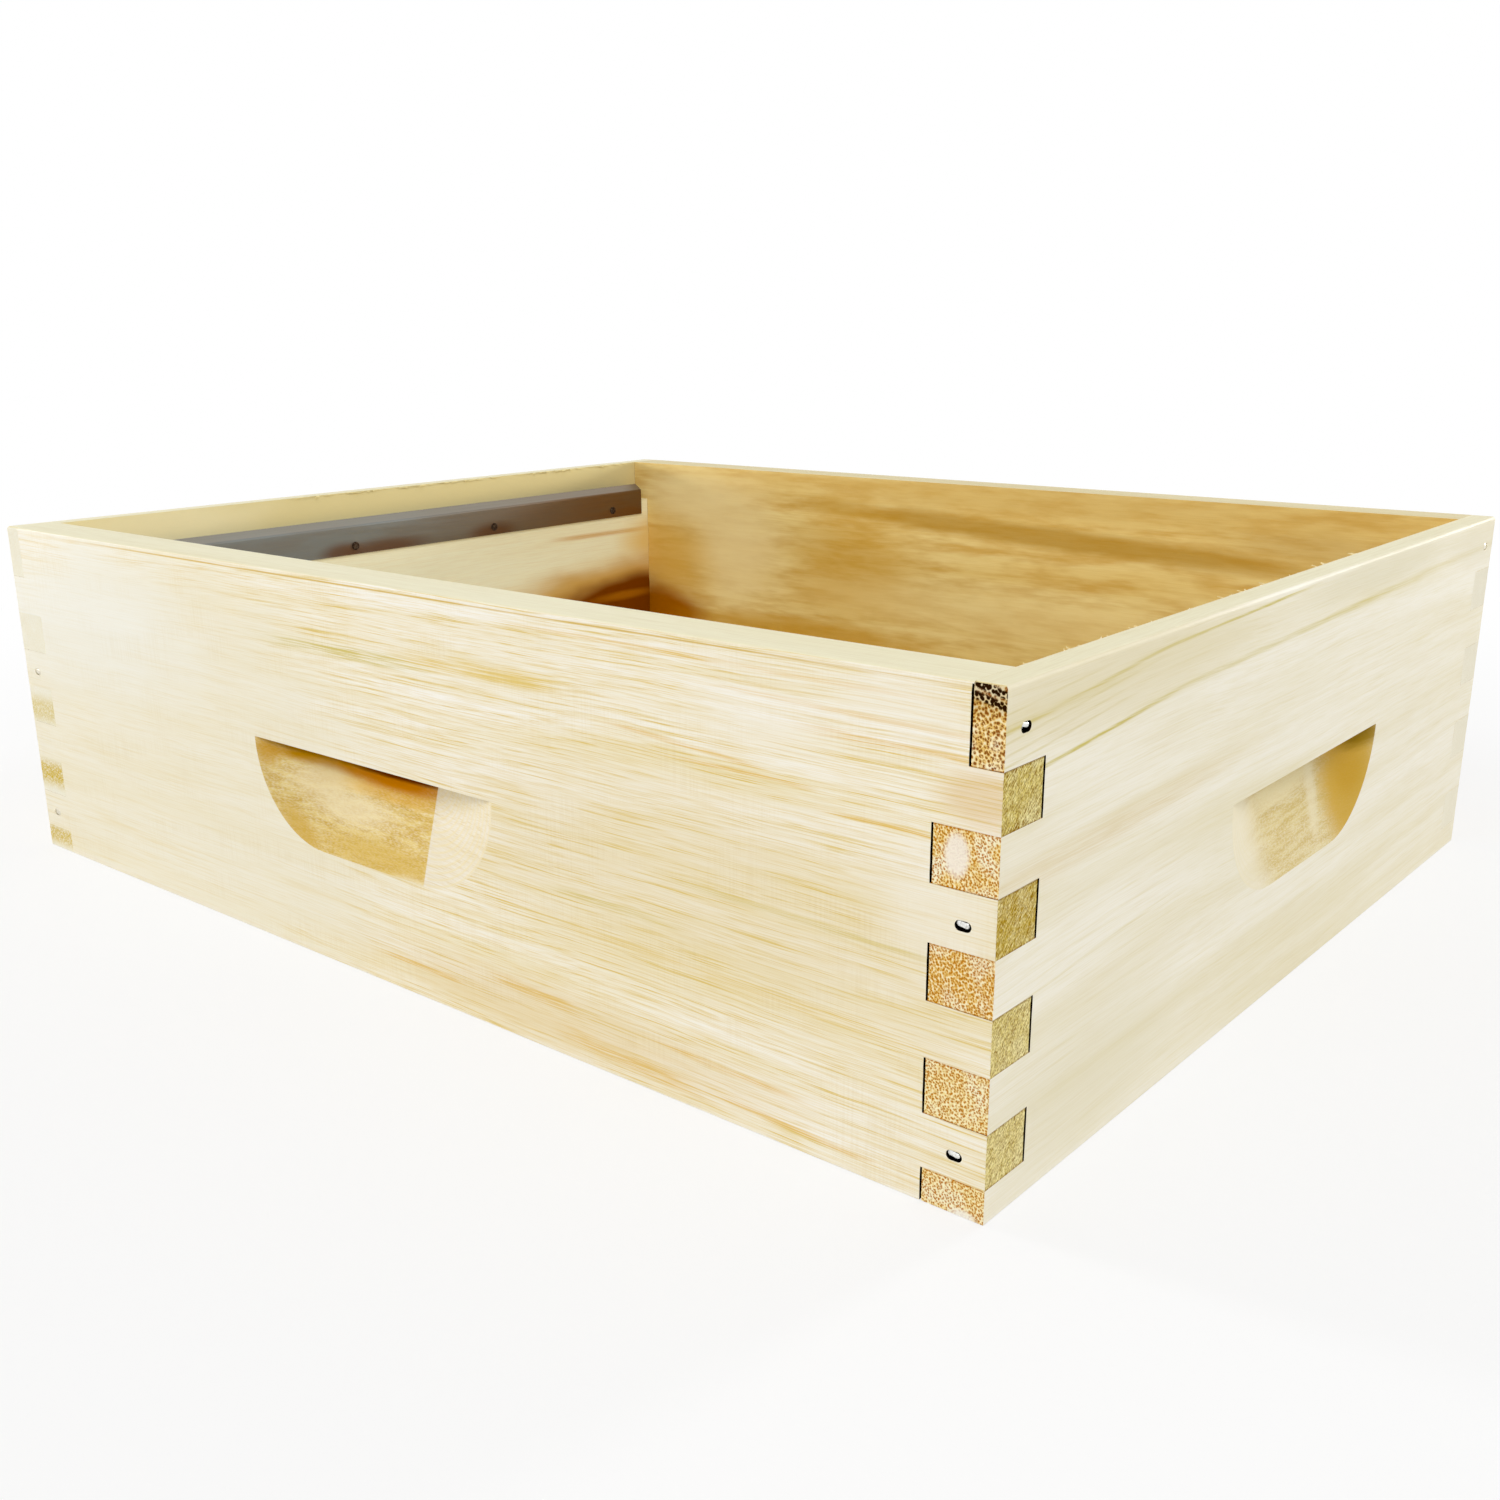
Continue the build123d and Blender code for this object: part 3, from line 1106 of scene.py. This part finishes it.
front_spots = [
    (tone(235, 228, 205), 0.7, (-150, 90), (190, 110), 0.0, 0.6),
    # The first spot on the next line, pale and neutral over the upper left of the face, is a painted
    # highlight.
    (tone(238, 237, 228), 0.6, (-200, 34), (130, 50)), (tone(222, 200, 136), 0.4, (150, 76), (160, 46)),
    (tone(222, 194, 134), 0.35, (90, 136), (130, 16)), (tone(220, 184, 124), 0.5, (248, 30), (20, 11)),
    (tone(246, 242, 232), 0.45, (224, 10), (36, 12)), (tone(246, 242, 232), 0.45, (236, 64), (30, 22)),
    (tone(246, 242, 232), 0.4, (180, 18), (38, 16)),
]
right_streaks = [
    (moss, 0.8, -260, -90, 16.6, 2.6, 0.9), (moss, 0.9, -150, 10, 5.8, 1.7, 0.8),
    (moss, 0.4, -260, -110, 19.4, 6.6, 0.6), (moss, 0.35, -250, -130, 22.0, 11.4, 0.6),
    (moss, 0.4, -260, -120, 25.4, 13.4, 0.6), (moss, 0.35, -250, -140, 10.4, 3.0, 0.6),
    (moss, 0.95, -280, -80, 31.6, 16.9, 1.0), (moss, 0.5, -160, 120, 20.1, 13.2, 1.6),
    (olive, 0.4, -20, 300, 16.8, 9.0, 2.6), (olive, 0.5, -260, -120, 13.0, 8.0, 2.0),
    (tone(226, 208, 164), 0.6, -330, -30, 58, 48, 7.0), (olive, 0.25, -240, -90, 91, 83, 0.9),
]
right_spots = [
    (tone(220, 206, 158), 0.5, (-140, 8), (130, 20)), (tone(222, 212, 180), 0.5, (190, 8), (60, 18)),
    (tone(224, 214, 176), 0.4, (-150, 126), (80, 30)), (tone(216, 206, 166), 0.5, (70, 5), (110, 12)),
]
# Several spots on the back wall's inside are painted light and shade. The pale ovals at its left end are a
# painted pool of light. The dark brown oval low at that end, with the orange one above it, is a painted
# shadow in the corner. The darker strip along the top is painted shade, and the paler oval across the lower
# part is painted light.
back_marks_light_and_shade = [
    (tone(206, 172, 100), 0.5, (0, 6), (300, 14)), (tone(250, 228, 170), 0.7, (196, 18), (50, 24)),
    (tone(180, 134, 36), 0.75, (-45, 23.5), (250, 8.5), -2.7, 0.3),
    (tone(246, 222, 164), 0.75, (160, 46), (50, 54), 0.0, 0.15),
    (tone(208, 154, 26), 0.55, (76, 50), (60, 48)),
    (tone(222, 174, 76), 0.8, (216, 62), (48, 42), 0.0, 0.1),
    (tone(162, 94, 0), 1.0, (222, 96), (54, 30), 0.0, 0.4),
    (tone(246, 220, 154), 0.45, (-30, 66), (200, 20)), (amber, 0.75, (110, 94), (120, 16)),
    (tone(186, 148, 76), 0.45, (-182, 18), (60, 12)),
]
left_streaks = [(tone(214, 156, 66), 0.7, -200, -95, 40, 39, 2.2)]
# Low on the left wall's inside, towards the back, the brown and dark golden ovals are a painted shadow cast
# across the lower corner.
left_spots_and_shadow = [
    (tone(231, 216, 160), 1.0, (-80, 2), (420, 24), 0.0, 0.6), (tone(250, 242, 204), 0.5, (140, 6), (80, 16)),
    (tone(240, 202, 108), 0.8, (-198, 46), (50, 18)),
    (tone(208, 152, 4), 0.85, (-174, 76), (148, 27), 0.0, 0.35),
    (brown, 1.0, (-190, 82), (100, 20), 0.0, 0.6),
    (tone(190, 120, 16), 0.6, (-165, 79), (40, 4)),
]
print("streaks", len(front_streaks + right_streaks + left_streaks))
print("spots", len(front_spots + right_spots + back_marks_light_and_shade + left_spots_and_shadow))

# %% Long faces
plain_face = dict(
    cloudy=0.6, streaky=0.3, mottled=0.0, lined=0.0, hairy=0.1, fibrous=0.1, ragged=0.0, rubbed=0.0,
    marked=0.0, gloss=0.0, spots=[], streaks=[],
)
bright_outer = dict(
    plain_face, tones=(tone(248, 244, 234), tone(233, 217, 166), tone(222, 192, 90)), cloudy=0.5,
    streaky=0.42, lined=0.1, hairy=1.0, fibrous=0.25, ragged=0.9, rubbed=0.95, marked=0.25, gloss=0.15,
    spots=front_spots, streaks=front_streaks,
)
# The back and left outer faces take darker copies of the front and right tones: painted shade, so that the
# lamps that shine on them do not wash them out.
shaded_back_tones = tone(218, 205, 174), tone(206, 186, 136), tone(190, 158, 84)
shaded_back_outer = dict(bright_outer, tones=shaded_back_tones, spots=[])
cream_outer = dict(
    plain_face, tones=(tone(246, 241, 226), tone(232, 222, 188), tone(214, 196, 106)), streaky=0.2,
    lined=0.05, hairy=0.2, ragged=0.6, marked=0.25, gloss=0.1, spots=right_spots, streaks=right_streaks,
)
shaded_left_tones = tone(218, 208, 178), tone(206, 190, 146), tone(186, 162, 88)
shaded_left_outer = dict(cream_outer, tones=shaded_left_tones, spots=[])
pale_inner = dict(
    plain_face, tones=(tone(236, 222, 174), tone(220, 198, 136), tone(172, 128, 58)), streaky=0.4,
    mottled=0.2, lined=0.1, hairy=0.2, marked=0.3,
)
golden_inner = dict(
    plain_face, tones=(tone(242, 218, 150), tone(224, 186, 100), tone(196, 142, 30)), cloudy=0.5,
    mottled=0.6, spots=back_marks_light_and_shade,
)
# The left wall's inside has a near-white base: painted light, which brightens a wall that the lamps reach
# little.
painted_light_inner = dict(
    plain_face, tones=(tone(255, 252, 220), tone(250, 236, 186), tone(210, 166, 92)), cloudy=0.3,
    streaky=0.2, ragged=0.3, spots=left_spots_and_shadow, streaks=left_streaks,
)
cream_top = dict(
    plain_face, tones=(tone(243, 238, 208), tone(236, 228, 192), tone(196, 172, 116)), lined=0.05,
    hairy=0.15, marked=0.12, gloss=0.1,
)
dull_top = dict(cream_top, tones=(tone(232, 220, 178), tone(224, 208, 160), tone(180, 152, 92)))
print("palest tones outside", bright_outer["tones"][0], cream_outer["tones"][0])

# %% Ends and handholds
plain_end = dict(porous=0.2, flecked=0.0, glue=0.0, scorched=0.0, faded=0.0, dabs=[])
olive_end = dict(
    plain_end, tones=(tone(140, 100, 0), tone(214, 190, 70), tone(243, 233, 174)), saw_turn=48, sawn=1.0,
    pore=tone(130, 92, 10), porous=0.4, flecked=0.3, glue=0.6,
    streaks=[
        (tone(244, 230, 168), 0.6, -500, 500, 120, 120, 66.0),
        (tone(190, 154, 20), 0.6, -500, 500, 63, 63, 16.0),
        (tone(230, 214, 136), 0.45, -500, 500, 30, 30, 12.0)],
)
faded_end = dict(
    plain_end, tones=(tone(236, 229, 206), tone(240, 234, 214), tone(242, 237, 218)), saw_turn=48, sawn=0.3,
    pore=tone(228, 218, 188), streaks=[(tone(196, 174, 112), 0.9, 0, 500, 74, 74, 200.0)],
)
orange_end = dict(
    plain_end, tones=(tone(208, 140, 20), tone(238, 200, 96), tone(250, 242, 208)), saw_turn=70, sawn=0.25,
    pore=tone(186, 116, 0), porous=0.95, flecked=0.7, glue=0.8, scorched=1.0, faded=0.8,
    streaks=[
        (tone(214, 148, 44), 0.25, -300, -100, 11, 11, 16.0),
        (tone(216, 160, 60), 0.45, -300, -100, 80, 80, 14.0),
        (tone(248, 236, 180), 0.5, -300, -100, 126, 126, 40.0)],
    dabs=[
        (tone(248, 238, 222), 0.9, (12.6, 46.0), (4.6, 7.6), 0.0, 0.55),
        (tone(250, 247, 236), 0.85, (6.5, 148.0), (5.5, 2.6), 0.0, 0.3)],
)
pale_end = dict(
    plain_end, tones=(tone(236, 229, 204), tone(239, 234, 214), tone(241, 237, 220)), saw_turn=70, sawn=0.2,
    pore=tone(230, 212, 170),
    streaks=[
        (tone(212, 188, 90), 0.7, 0, 400, 82, 82, 9.0), (tone(208, 178, 60), 1.0, 0, 400, 112, 112, 9.0),
        (tone(208, 178, 60), 0.9, 0, 400, 142, 142, 7.0), (tone(196, 168, 100), 0.9, -400, 0, 74, 74, 200.0)],
)
# In the front handhold the golden layer is painted shade. Its dark and orange ovals just under the upper edge
# are a painted shadow, the darker golden ones at its left end are painted shade, and the pale ones high on
# the floor are painted light that lifts the shade under the edge.
side_hold = dict(
    offset=side_hold_offset, clean_side=1, slant=0.0, clean=(28.7, 29.3), strokes=(12, 2.2, 30), rubbed=0.95,
    clean_shade=0.5, clean_tone=tone(224, 215, 198), gold=(tone(226, 200, 122), tone(206, 168, 70)),
    spots=[
        (tone(242, 228, 190), 0.6, (-16, 20), (34, 9)), (tone(246, 216, 144), 0.7, (-20, 10), (28, 6)),
        (tone(212, 172, 76), 0.7, (-44, 32), (20, 7), 32.0), (tone(200, 150, 48), 0.7, (-62, 5), (9, 8)),
        (tone(214, 178, 84), 0.6, (4, 34), (52, 8)), (tone(232, 176, 64), 0.5, (8, 11), (36, 5)),
        (tone(200, 144, 0), 1.0, (-34, 5.4), (42, 4.0), 3.0), (tone(206, 128, 0), 1.0, (6, 6.6), (44, 5.0)),
        (tone(158, 112, 0), 1.0, (-46, 2.6), (24, 1.9), 5.8), (tone(158, 108, 0), 1.0, (-14, 4.5), (30, 1.8)),
        (tone(104, 46, 0), 1.0, (9, 4.5), (40, 2.0)), (tone(242, 232, 200), 0.5, (24, 39), (16, 3)),
        (tone(244, 228, 184), 0.6, (-36, 13), (24, 9)),
    ],
)
# In the right handhold the golden layer is painted shade, deepest on the far ramp, which turns away from the
# lamp. The dark oval at the top of the far end is a painted shadow, and the pale oval under the upper edge is
# painted light that lifts the shade there.
end_hold = dict(
    offset=end_hold_offset, clean_side=-1, slant=0.2, clean=(24.0, 60.0), strokes=(20, 2.4, 40), rubbed=0.8,
    clean_shade=0.6, clean_tone=tone(232, 223, 198), gold=(tone(224, 204, 140), tone(206, 176, 84)),
    spots=[
        (tone(244, 232, 190), 0.75, (-8, 10), (52, 6)),
        (tone(212, 170, 66), 0.9, (50, 18), (28, 38), 0.0, 0.4),
        (tone(200, 152, 36), 0.5, (50, 15), (16, 15)), (tone(148, 114, 2), 0.85, (58, 3), (22, 7)),
        (tone(242, 232, 200), 0.55, (20, 18), (7.0, 26), 8.5),
    ],
)
print("spots in the handholds", len(side_hold["spots"]), len(end_hold["spots"]))

# %% Finishes on the boards
side_look = dict(sway=5.0, planed=(0.8, 24, 24), hold=side_hold)
end_look = dict(sway=7.0, planed=(30, 0.9, 24), hold=end_hold)
looks = {
    "front_side_board": dict(
        side_look, heart=(-60.0, 230.0), ring=9.0, lean=0.02, shift=3.1,
        outer=bright_outer, inner=pale_inner, top=cream_top, end=olive_end),
    "back_side_board": dict(
        side_look, heart=(70.0, 30.0), ring=9.0, lean=0.015, shift=17.7,
        outer=shaded_back_outer, inner=golden_inner, top=dull_top, end=faded_end),
    "right_end_board": dict(
        end_look, heart=(66.0, 40.0), ring=15.0, lean=-0.02, shift=8.4,
        outer=cream_outer, inner=pale_inner, top=cream_top, end=orange_end),
    "left_end_board": dict(
        end_look, heart=(60.0, 40.0), ring=14.0, lean=0.02, shift=29.3,
        outer=shaded_left_outer, inner=painted_light_inner, top=cream_top, end=pale_end),
}
# Seams and nail pockets are painted dark as painted shade in a narrow gap; tight seams get a paler one.
joint_shade = shade_finish("joint_shade", tone(14, 8, 3), tone(128, 72, 18))
tight_shade = shade_finish("tight_joint_shade", tone(178, 146, 92), tone(178, 146, 92))
pocket_shade = shade_finish("nail_pocket_shade", tone(10, 6, 3), tone(10, 6, 3))
for node, (kind, turn) in board_kinds.items():
    look = dict(looks[node], turn=turn, reach=kind["reach"])
    finishes = [face_finish(node + "_" + part, look, look[part]) for part in ("outer", "inner", "top")]
    finishes += [sawn_end_finish(node + "_end", look), scoop_finish(node + "_scoop", look)]
    finishes += [joint_shade, tight_shade, pocket_shade]
    for finish in finishes:
        boards[node].data.materials.append(finish)
    print(node, "nodes in its finishes:", [len(finish.node_tree.nodes) for finish in finishes])

# %% [markdown]
# ## Metal
#
# The frame rests are galvanised sheet that has gone dull and brown in places, and their colour also holds a
# painted reflection, browner towards the back, and a painted sheen that makes the lip paler. The nails at the
# open corner are bright steel with fine scratches and the others are duller. The tacks are plain steel that
# has started to rust. Metal takes most of its colour from what it mirrors, so these finishes mainly set how
# sharp and how even that mirror is.

# %% Metal finishes
rust = tone(100, 66, 36)
rust_drop = 29.0
rust_height = 7.0
rust_places = ((-44.0, 18.0), (-16.0, 40.0), (58.0, 24.0))
rust_smears = [(rust, 0.75, (middle, rust_drop), (reach, rust_height)) for middle, reach in rust_places]


def metal_finish(metal, colour, speckle, smooth, more, relief):
    """Sets a metal's colour, and by a speckle its roughness, from smooth to more, and its relief."""
    metal.bump(speckle, *relief)
    roughness = metal.mask(speckle, 0.3, 0.7, more) + smooth
    return metal.dress({"Metallic": 1.0, "Base Color": colour, "Roughness": roughness})


def sheet_finish():
    """Dull galvanised sheet with smears of rust; browner towards the back as a painted reflection, and paler
    on the lip as a painted sheen.
    """
    sheet = Finish("frame_rest_sheet")
    axes = sheet.axes()
    along, up = axes[1:]
    bloom = sheet.noise(axes, (30, 50, 8), 4.0, detail=3.0)
    drawn = sheet.noise(axes, (0.8, 60, 0.5), 9.0)
    layers = [
        # A painted reflection of the golden wood makes the sheet browner towards the back, and a painted
        # sheen makes the faces that look up paler.
        (sheet.mask(along, -40.0, 200.0), tone(124, 88, 48)),
        (sheet.mask(bloom, 0.4, 0.65, 0.4), tone(116, 106, 92)),
        (sheet.mask(sheet.upward(), 0.5, 0.8, 0.6), tone(160, 154, 142)),
    ]
    layers += spot_layers(sheet, along, box_height - up, bloom, rust_smears)
    colour = sheet.layered(tone(124, 127, 124), layers)
    return metal_finish(sheet, colour, drawn, 0.42, 0.1, (0.02, 0.3))


def nail_finish(name, bright, dull):
    """Steel with fine scratches."""
    steel = Finish(name)
    scratch = steel.noise(steel.axes(), (0.25, 0.25, 0.9), 1.0, detail=3.0)
    colour = steel.blend(steel.mask(scratch, 0.4, 0.7), bright, dull)
    return metal_finish(steel, colour, scratch, 0.22, 0.2, (0.05, 0.4))


def tack_finish():
    """Dark steel with rusty grime."""
    steel = Finish("tack_steel")
    grime = steel.noise(steel.axes(), (1.1, 1.1, 1.1), 6.0, detail=4.0)
    colour = steel.blend(steel.mask(grime, 0.42, 0.64), tone(86, 72, 58), tone(62, 38, 22))
    return metal_finish(steel, colour, grime, 0.6, 0.3, (0.06, 0.5))


sheet = sheet_finish()
for piece in rests.values():
    piece.data.materials.append(sheet)
bright_steel = nail_finish("bright_nail_steel", tone(252, 252, 248), tone(206, 206, 200))
dull_steel = nail_finish("dull_nail_steel", tone(234, 228, 210), tone(198, 190, 168))
for node, piece in nails.items():
    piece.data.materials.append(bright_steel if node in loose_heads else dull_steel)
tack_steel = tack_finish()
tack_nodes = ("right_rest_tacks", "left_rest_tacks")
for node in tack_nodes:
    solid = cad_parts[node]
    solid.data.materials.clear()
    solid.data.materials.append(tack_steel)
print("metal on", len(rests) + len(nails) + len(tack_nodes), "pieces")

# %% [markdown]
# ## Camera
#
# The camera was found by fitting the corners of the box in the photograph. Its small shift
# repeats the photograph's framing.

# %% Camera
image_side = 1500
focal_pixels = 1547.97
sensor = 36.0
camera_data = bpy.data.cameras.new("camera")
camera_data.sensor_width = sensor
camera_data.lens = sensor * focal_pixels / image_side
camera_data.shift_x = 0.01694
camera_data.shift_y = 0.03167
camera_data.clip_start = 0.01
camera = bpy.data.objects.new("camera", camera_data)
camera_turn = Matrix.Rotation(math.radians(40.386), 4, "Z")
camera_tilt = Matrix.Rotation(math.radians(90 - 17.189), 4, "X")
camera_roll = Matrix.Rotation(math.radians(-0.511), 4, "Z")
camera_place = Matrix.Translation(Vector((435.50, -527.12, 233.21)) * mm)
camera.matrix_world = camera_place @ camera_turn @ camera_tilt @ camera_roll
bpy.context.scene.collection.objects.link(camera)
bpy.context.scene.camera = camera
print("lens", round(camera_data.lens, 2))

# %% [markdown]
# ## Floor and light
#
# The object stands on a white floor in soft studio light. Far from the object the floor glows as
# white as the world. Close to it a third of what shows is matt white paint, which takes a soft shadow.
# Two lamps rake along the two outer faces, as in the photograph, where the hollows of the handholds
# lie in shade, and a third lamp fills the box from above.

# %% Floor and world
background_light = 0.54
white = (1, 1, 1, 1)
floor_white = (0.86, 0.86, 0.86, 1)
floor_half_side = 4
floor_level = -0.0002
near_floor, far_floor = 0.35, 0.9
near_glow, more_glow = 0.66, 0.34


def seen_directly(finish):
    """1 for what the camera sees, also in a reflection; 0 for light that falls on the object."""
    seen = finish.node("ShaderNodeLightPath", "Is Camera Ray", {})
    for kind in ("Is Glossy Ray", "Is Transmission Ray"):
        seen = finish.work("MAXIMUM", seen, finish.node("ShaderNodeLightPath", kind, {}))
    return seen


def mix_shaders(finish, amount, first, second, output):
    """Feeds an output with two shaders, mixed by an amount."""
    either = finish.node("ShaderNodeMixShader", 0, {0: amount, 1: first, 2: second})
    finish.put(either, finish.tree.nodes[output].inputs["Surface"])


studio = Finish("studio", bpy.data.worlds, "Background")
bpy.context.scene.world = studio.dress({"Color": white, "Strength": background_light})
lighting = Value(studio, studio.shader.outputs[0])
backdrop = studio.node("ShaderNodeBackground", 0, {"Color": white})
mix_shaders(studio, seen_directly(studio), lighting, backdrop, "World Output")
bpy.context.scene.view_settings.view_transform = "Standard"

floor_shape = bmesh.new()
bmesh.ops.create_grid(floor_shape, x_segments=1, y_segments=1, size=floor_half_side)
floor = finished("floor", floor_shape)
floor.location.z = floor_level
paint = Finish("floor_paint")
paint.tree.nodes.remove(paint.shader)
matt = paint.node("ShaderNodeBsdfDiffuse", 0, {"Color": floor_white})
glow = paint.node("ShaderNodeEmission", 0, {})
distance = paint.node("ShaderNodeVectorMath", "Value", {0: paint.spot()}, operation="LENGTH")
fade = paint.mask(distance, near_floor, far_floor, more_glow) + near_glow
mix_shaders(paint, fade * seen_directly(paint), matt, glow, "Material Output")
floor.data.materials.append(paint.owner)
print("floor", 2 * floor_half_side, "metres wide")

# %% Lamps


def soft_lamp(name, place, target, size, power):
    lamp = bpy.data.lights.new(name, "AREA")
    lamp.shape = "DISK"
    lamp.size = size
    lamp.energy = power
    holder = bpy.data.objects.new(name, lamp)
    holder.location = place
    holder.rotation_euler = (Vector(target) - Vector(place)).to_track_quat("-Z", "Y").to_euler()
    bpy.context.scene.collection.objects.link(holder)
    print(name, "watts", power)


soft_lamp("left lamp", (-2.2, -0.56, 0.4), (0, -0.2, 0.07), 0.55, 38)
soft_lamp("back right lamp", (0.62, 2.2, 0.4), (0.25, 0, 0.07), 0.55, 32)
soft_lamp("front lamp", (1.1, -1.35, 1.75), (0, 0, 0.07), 1.2, 20)
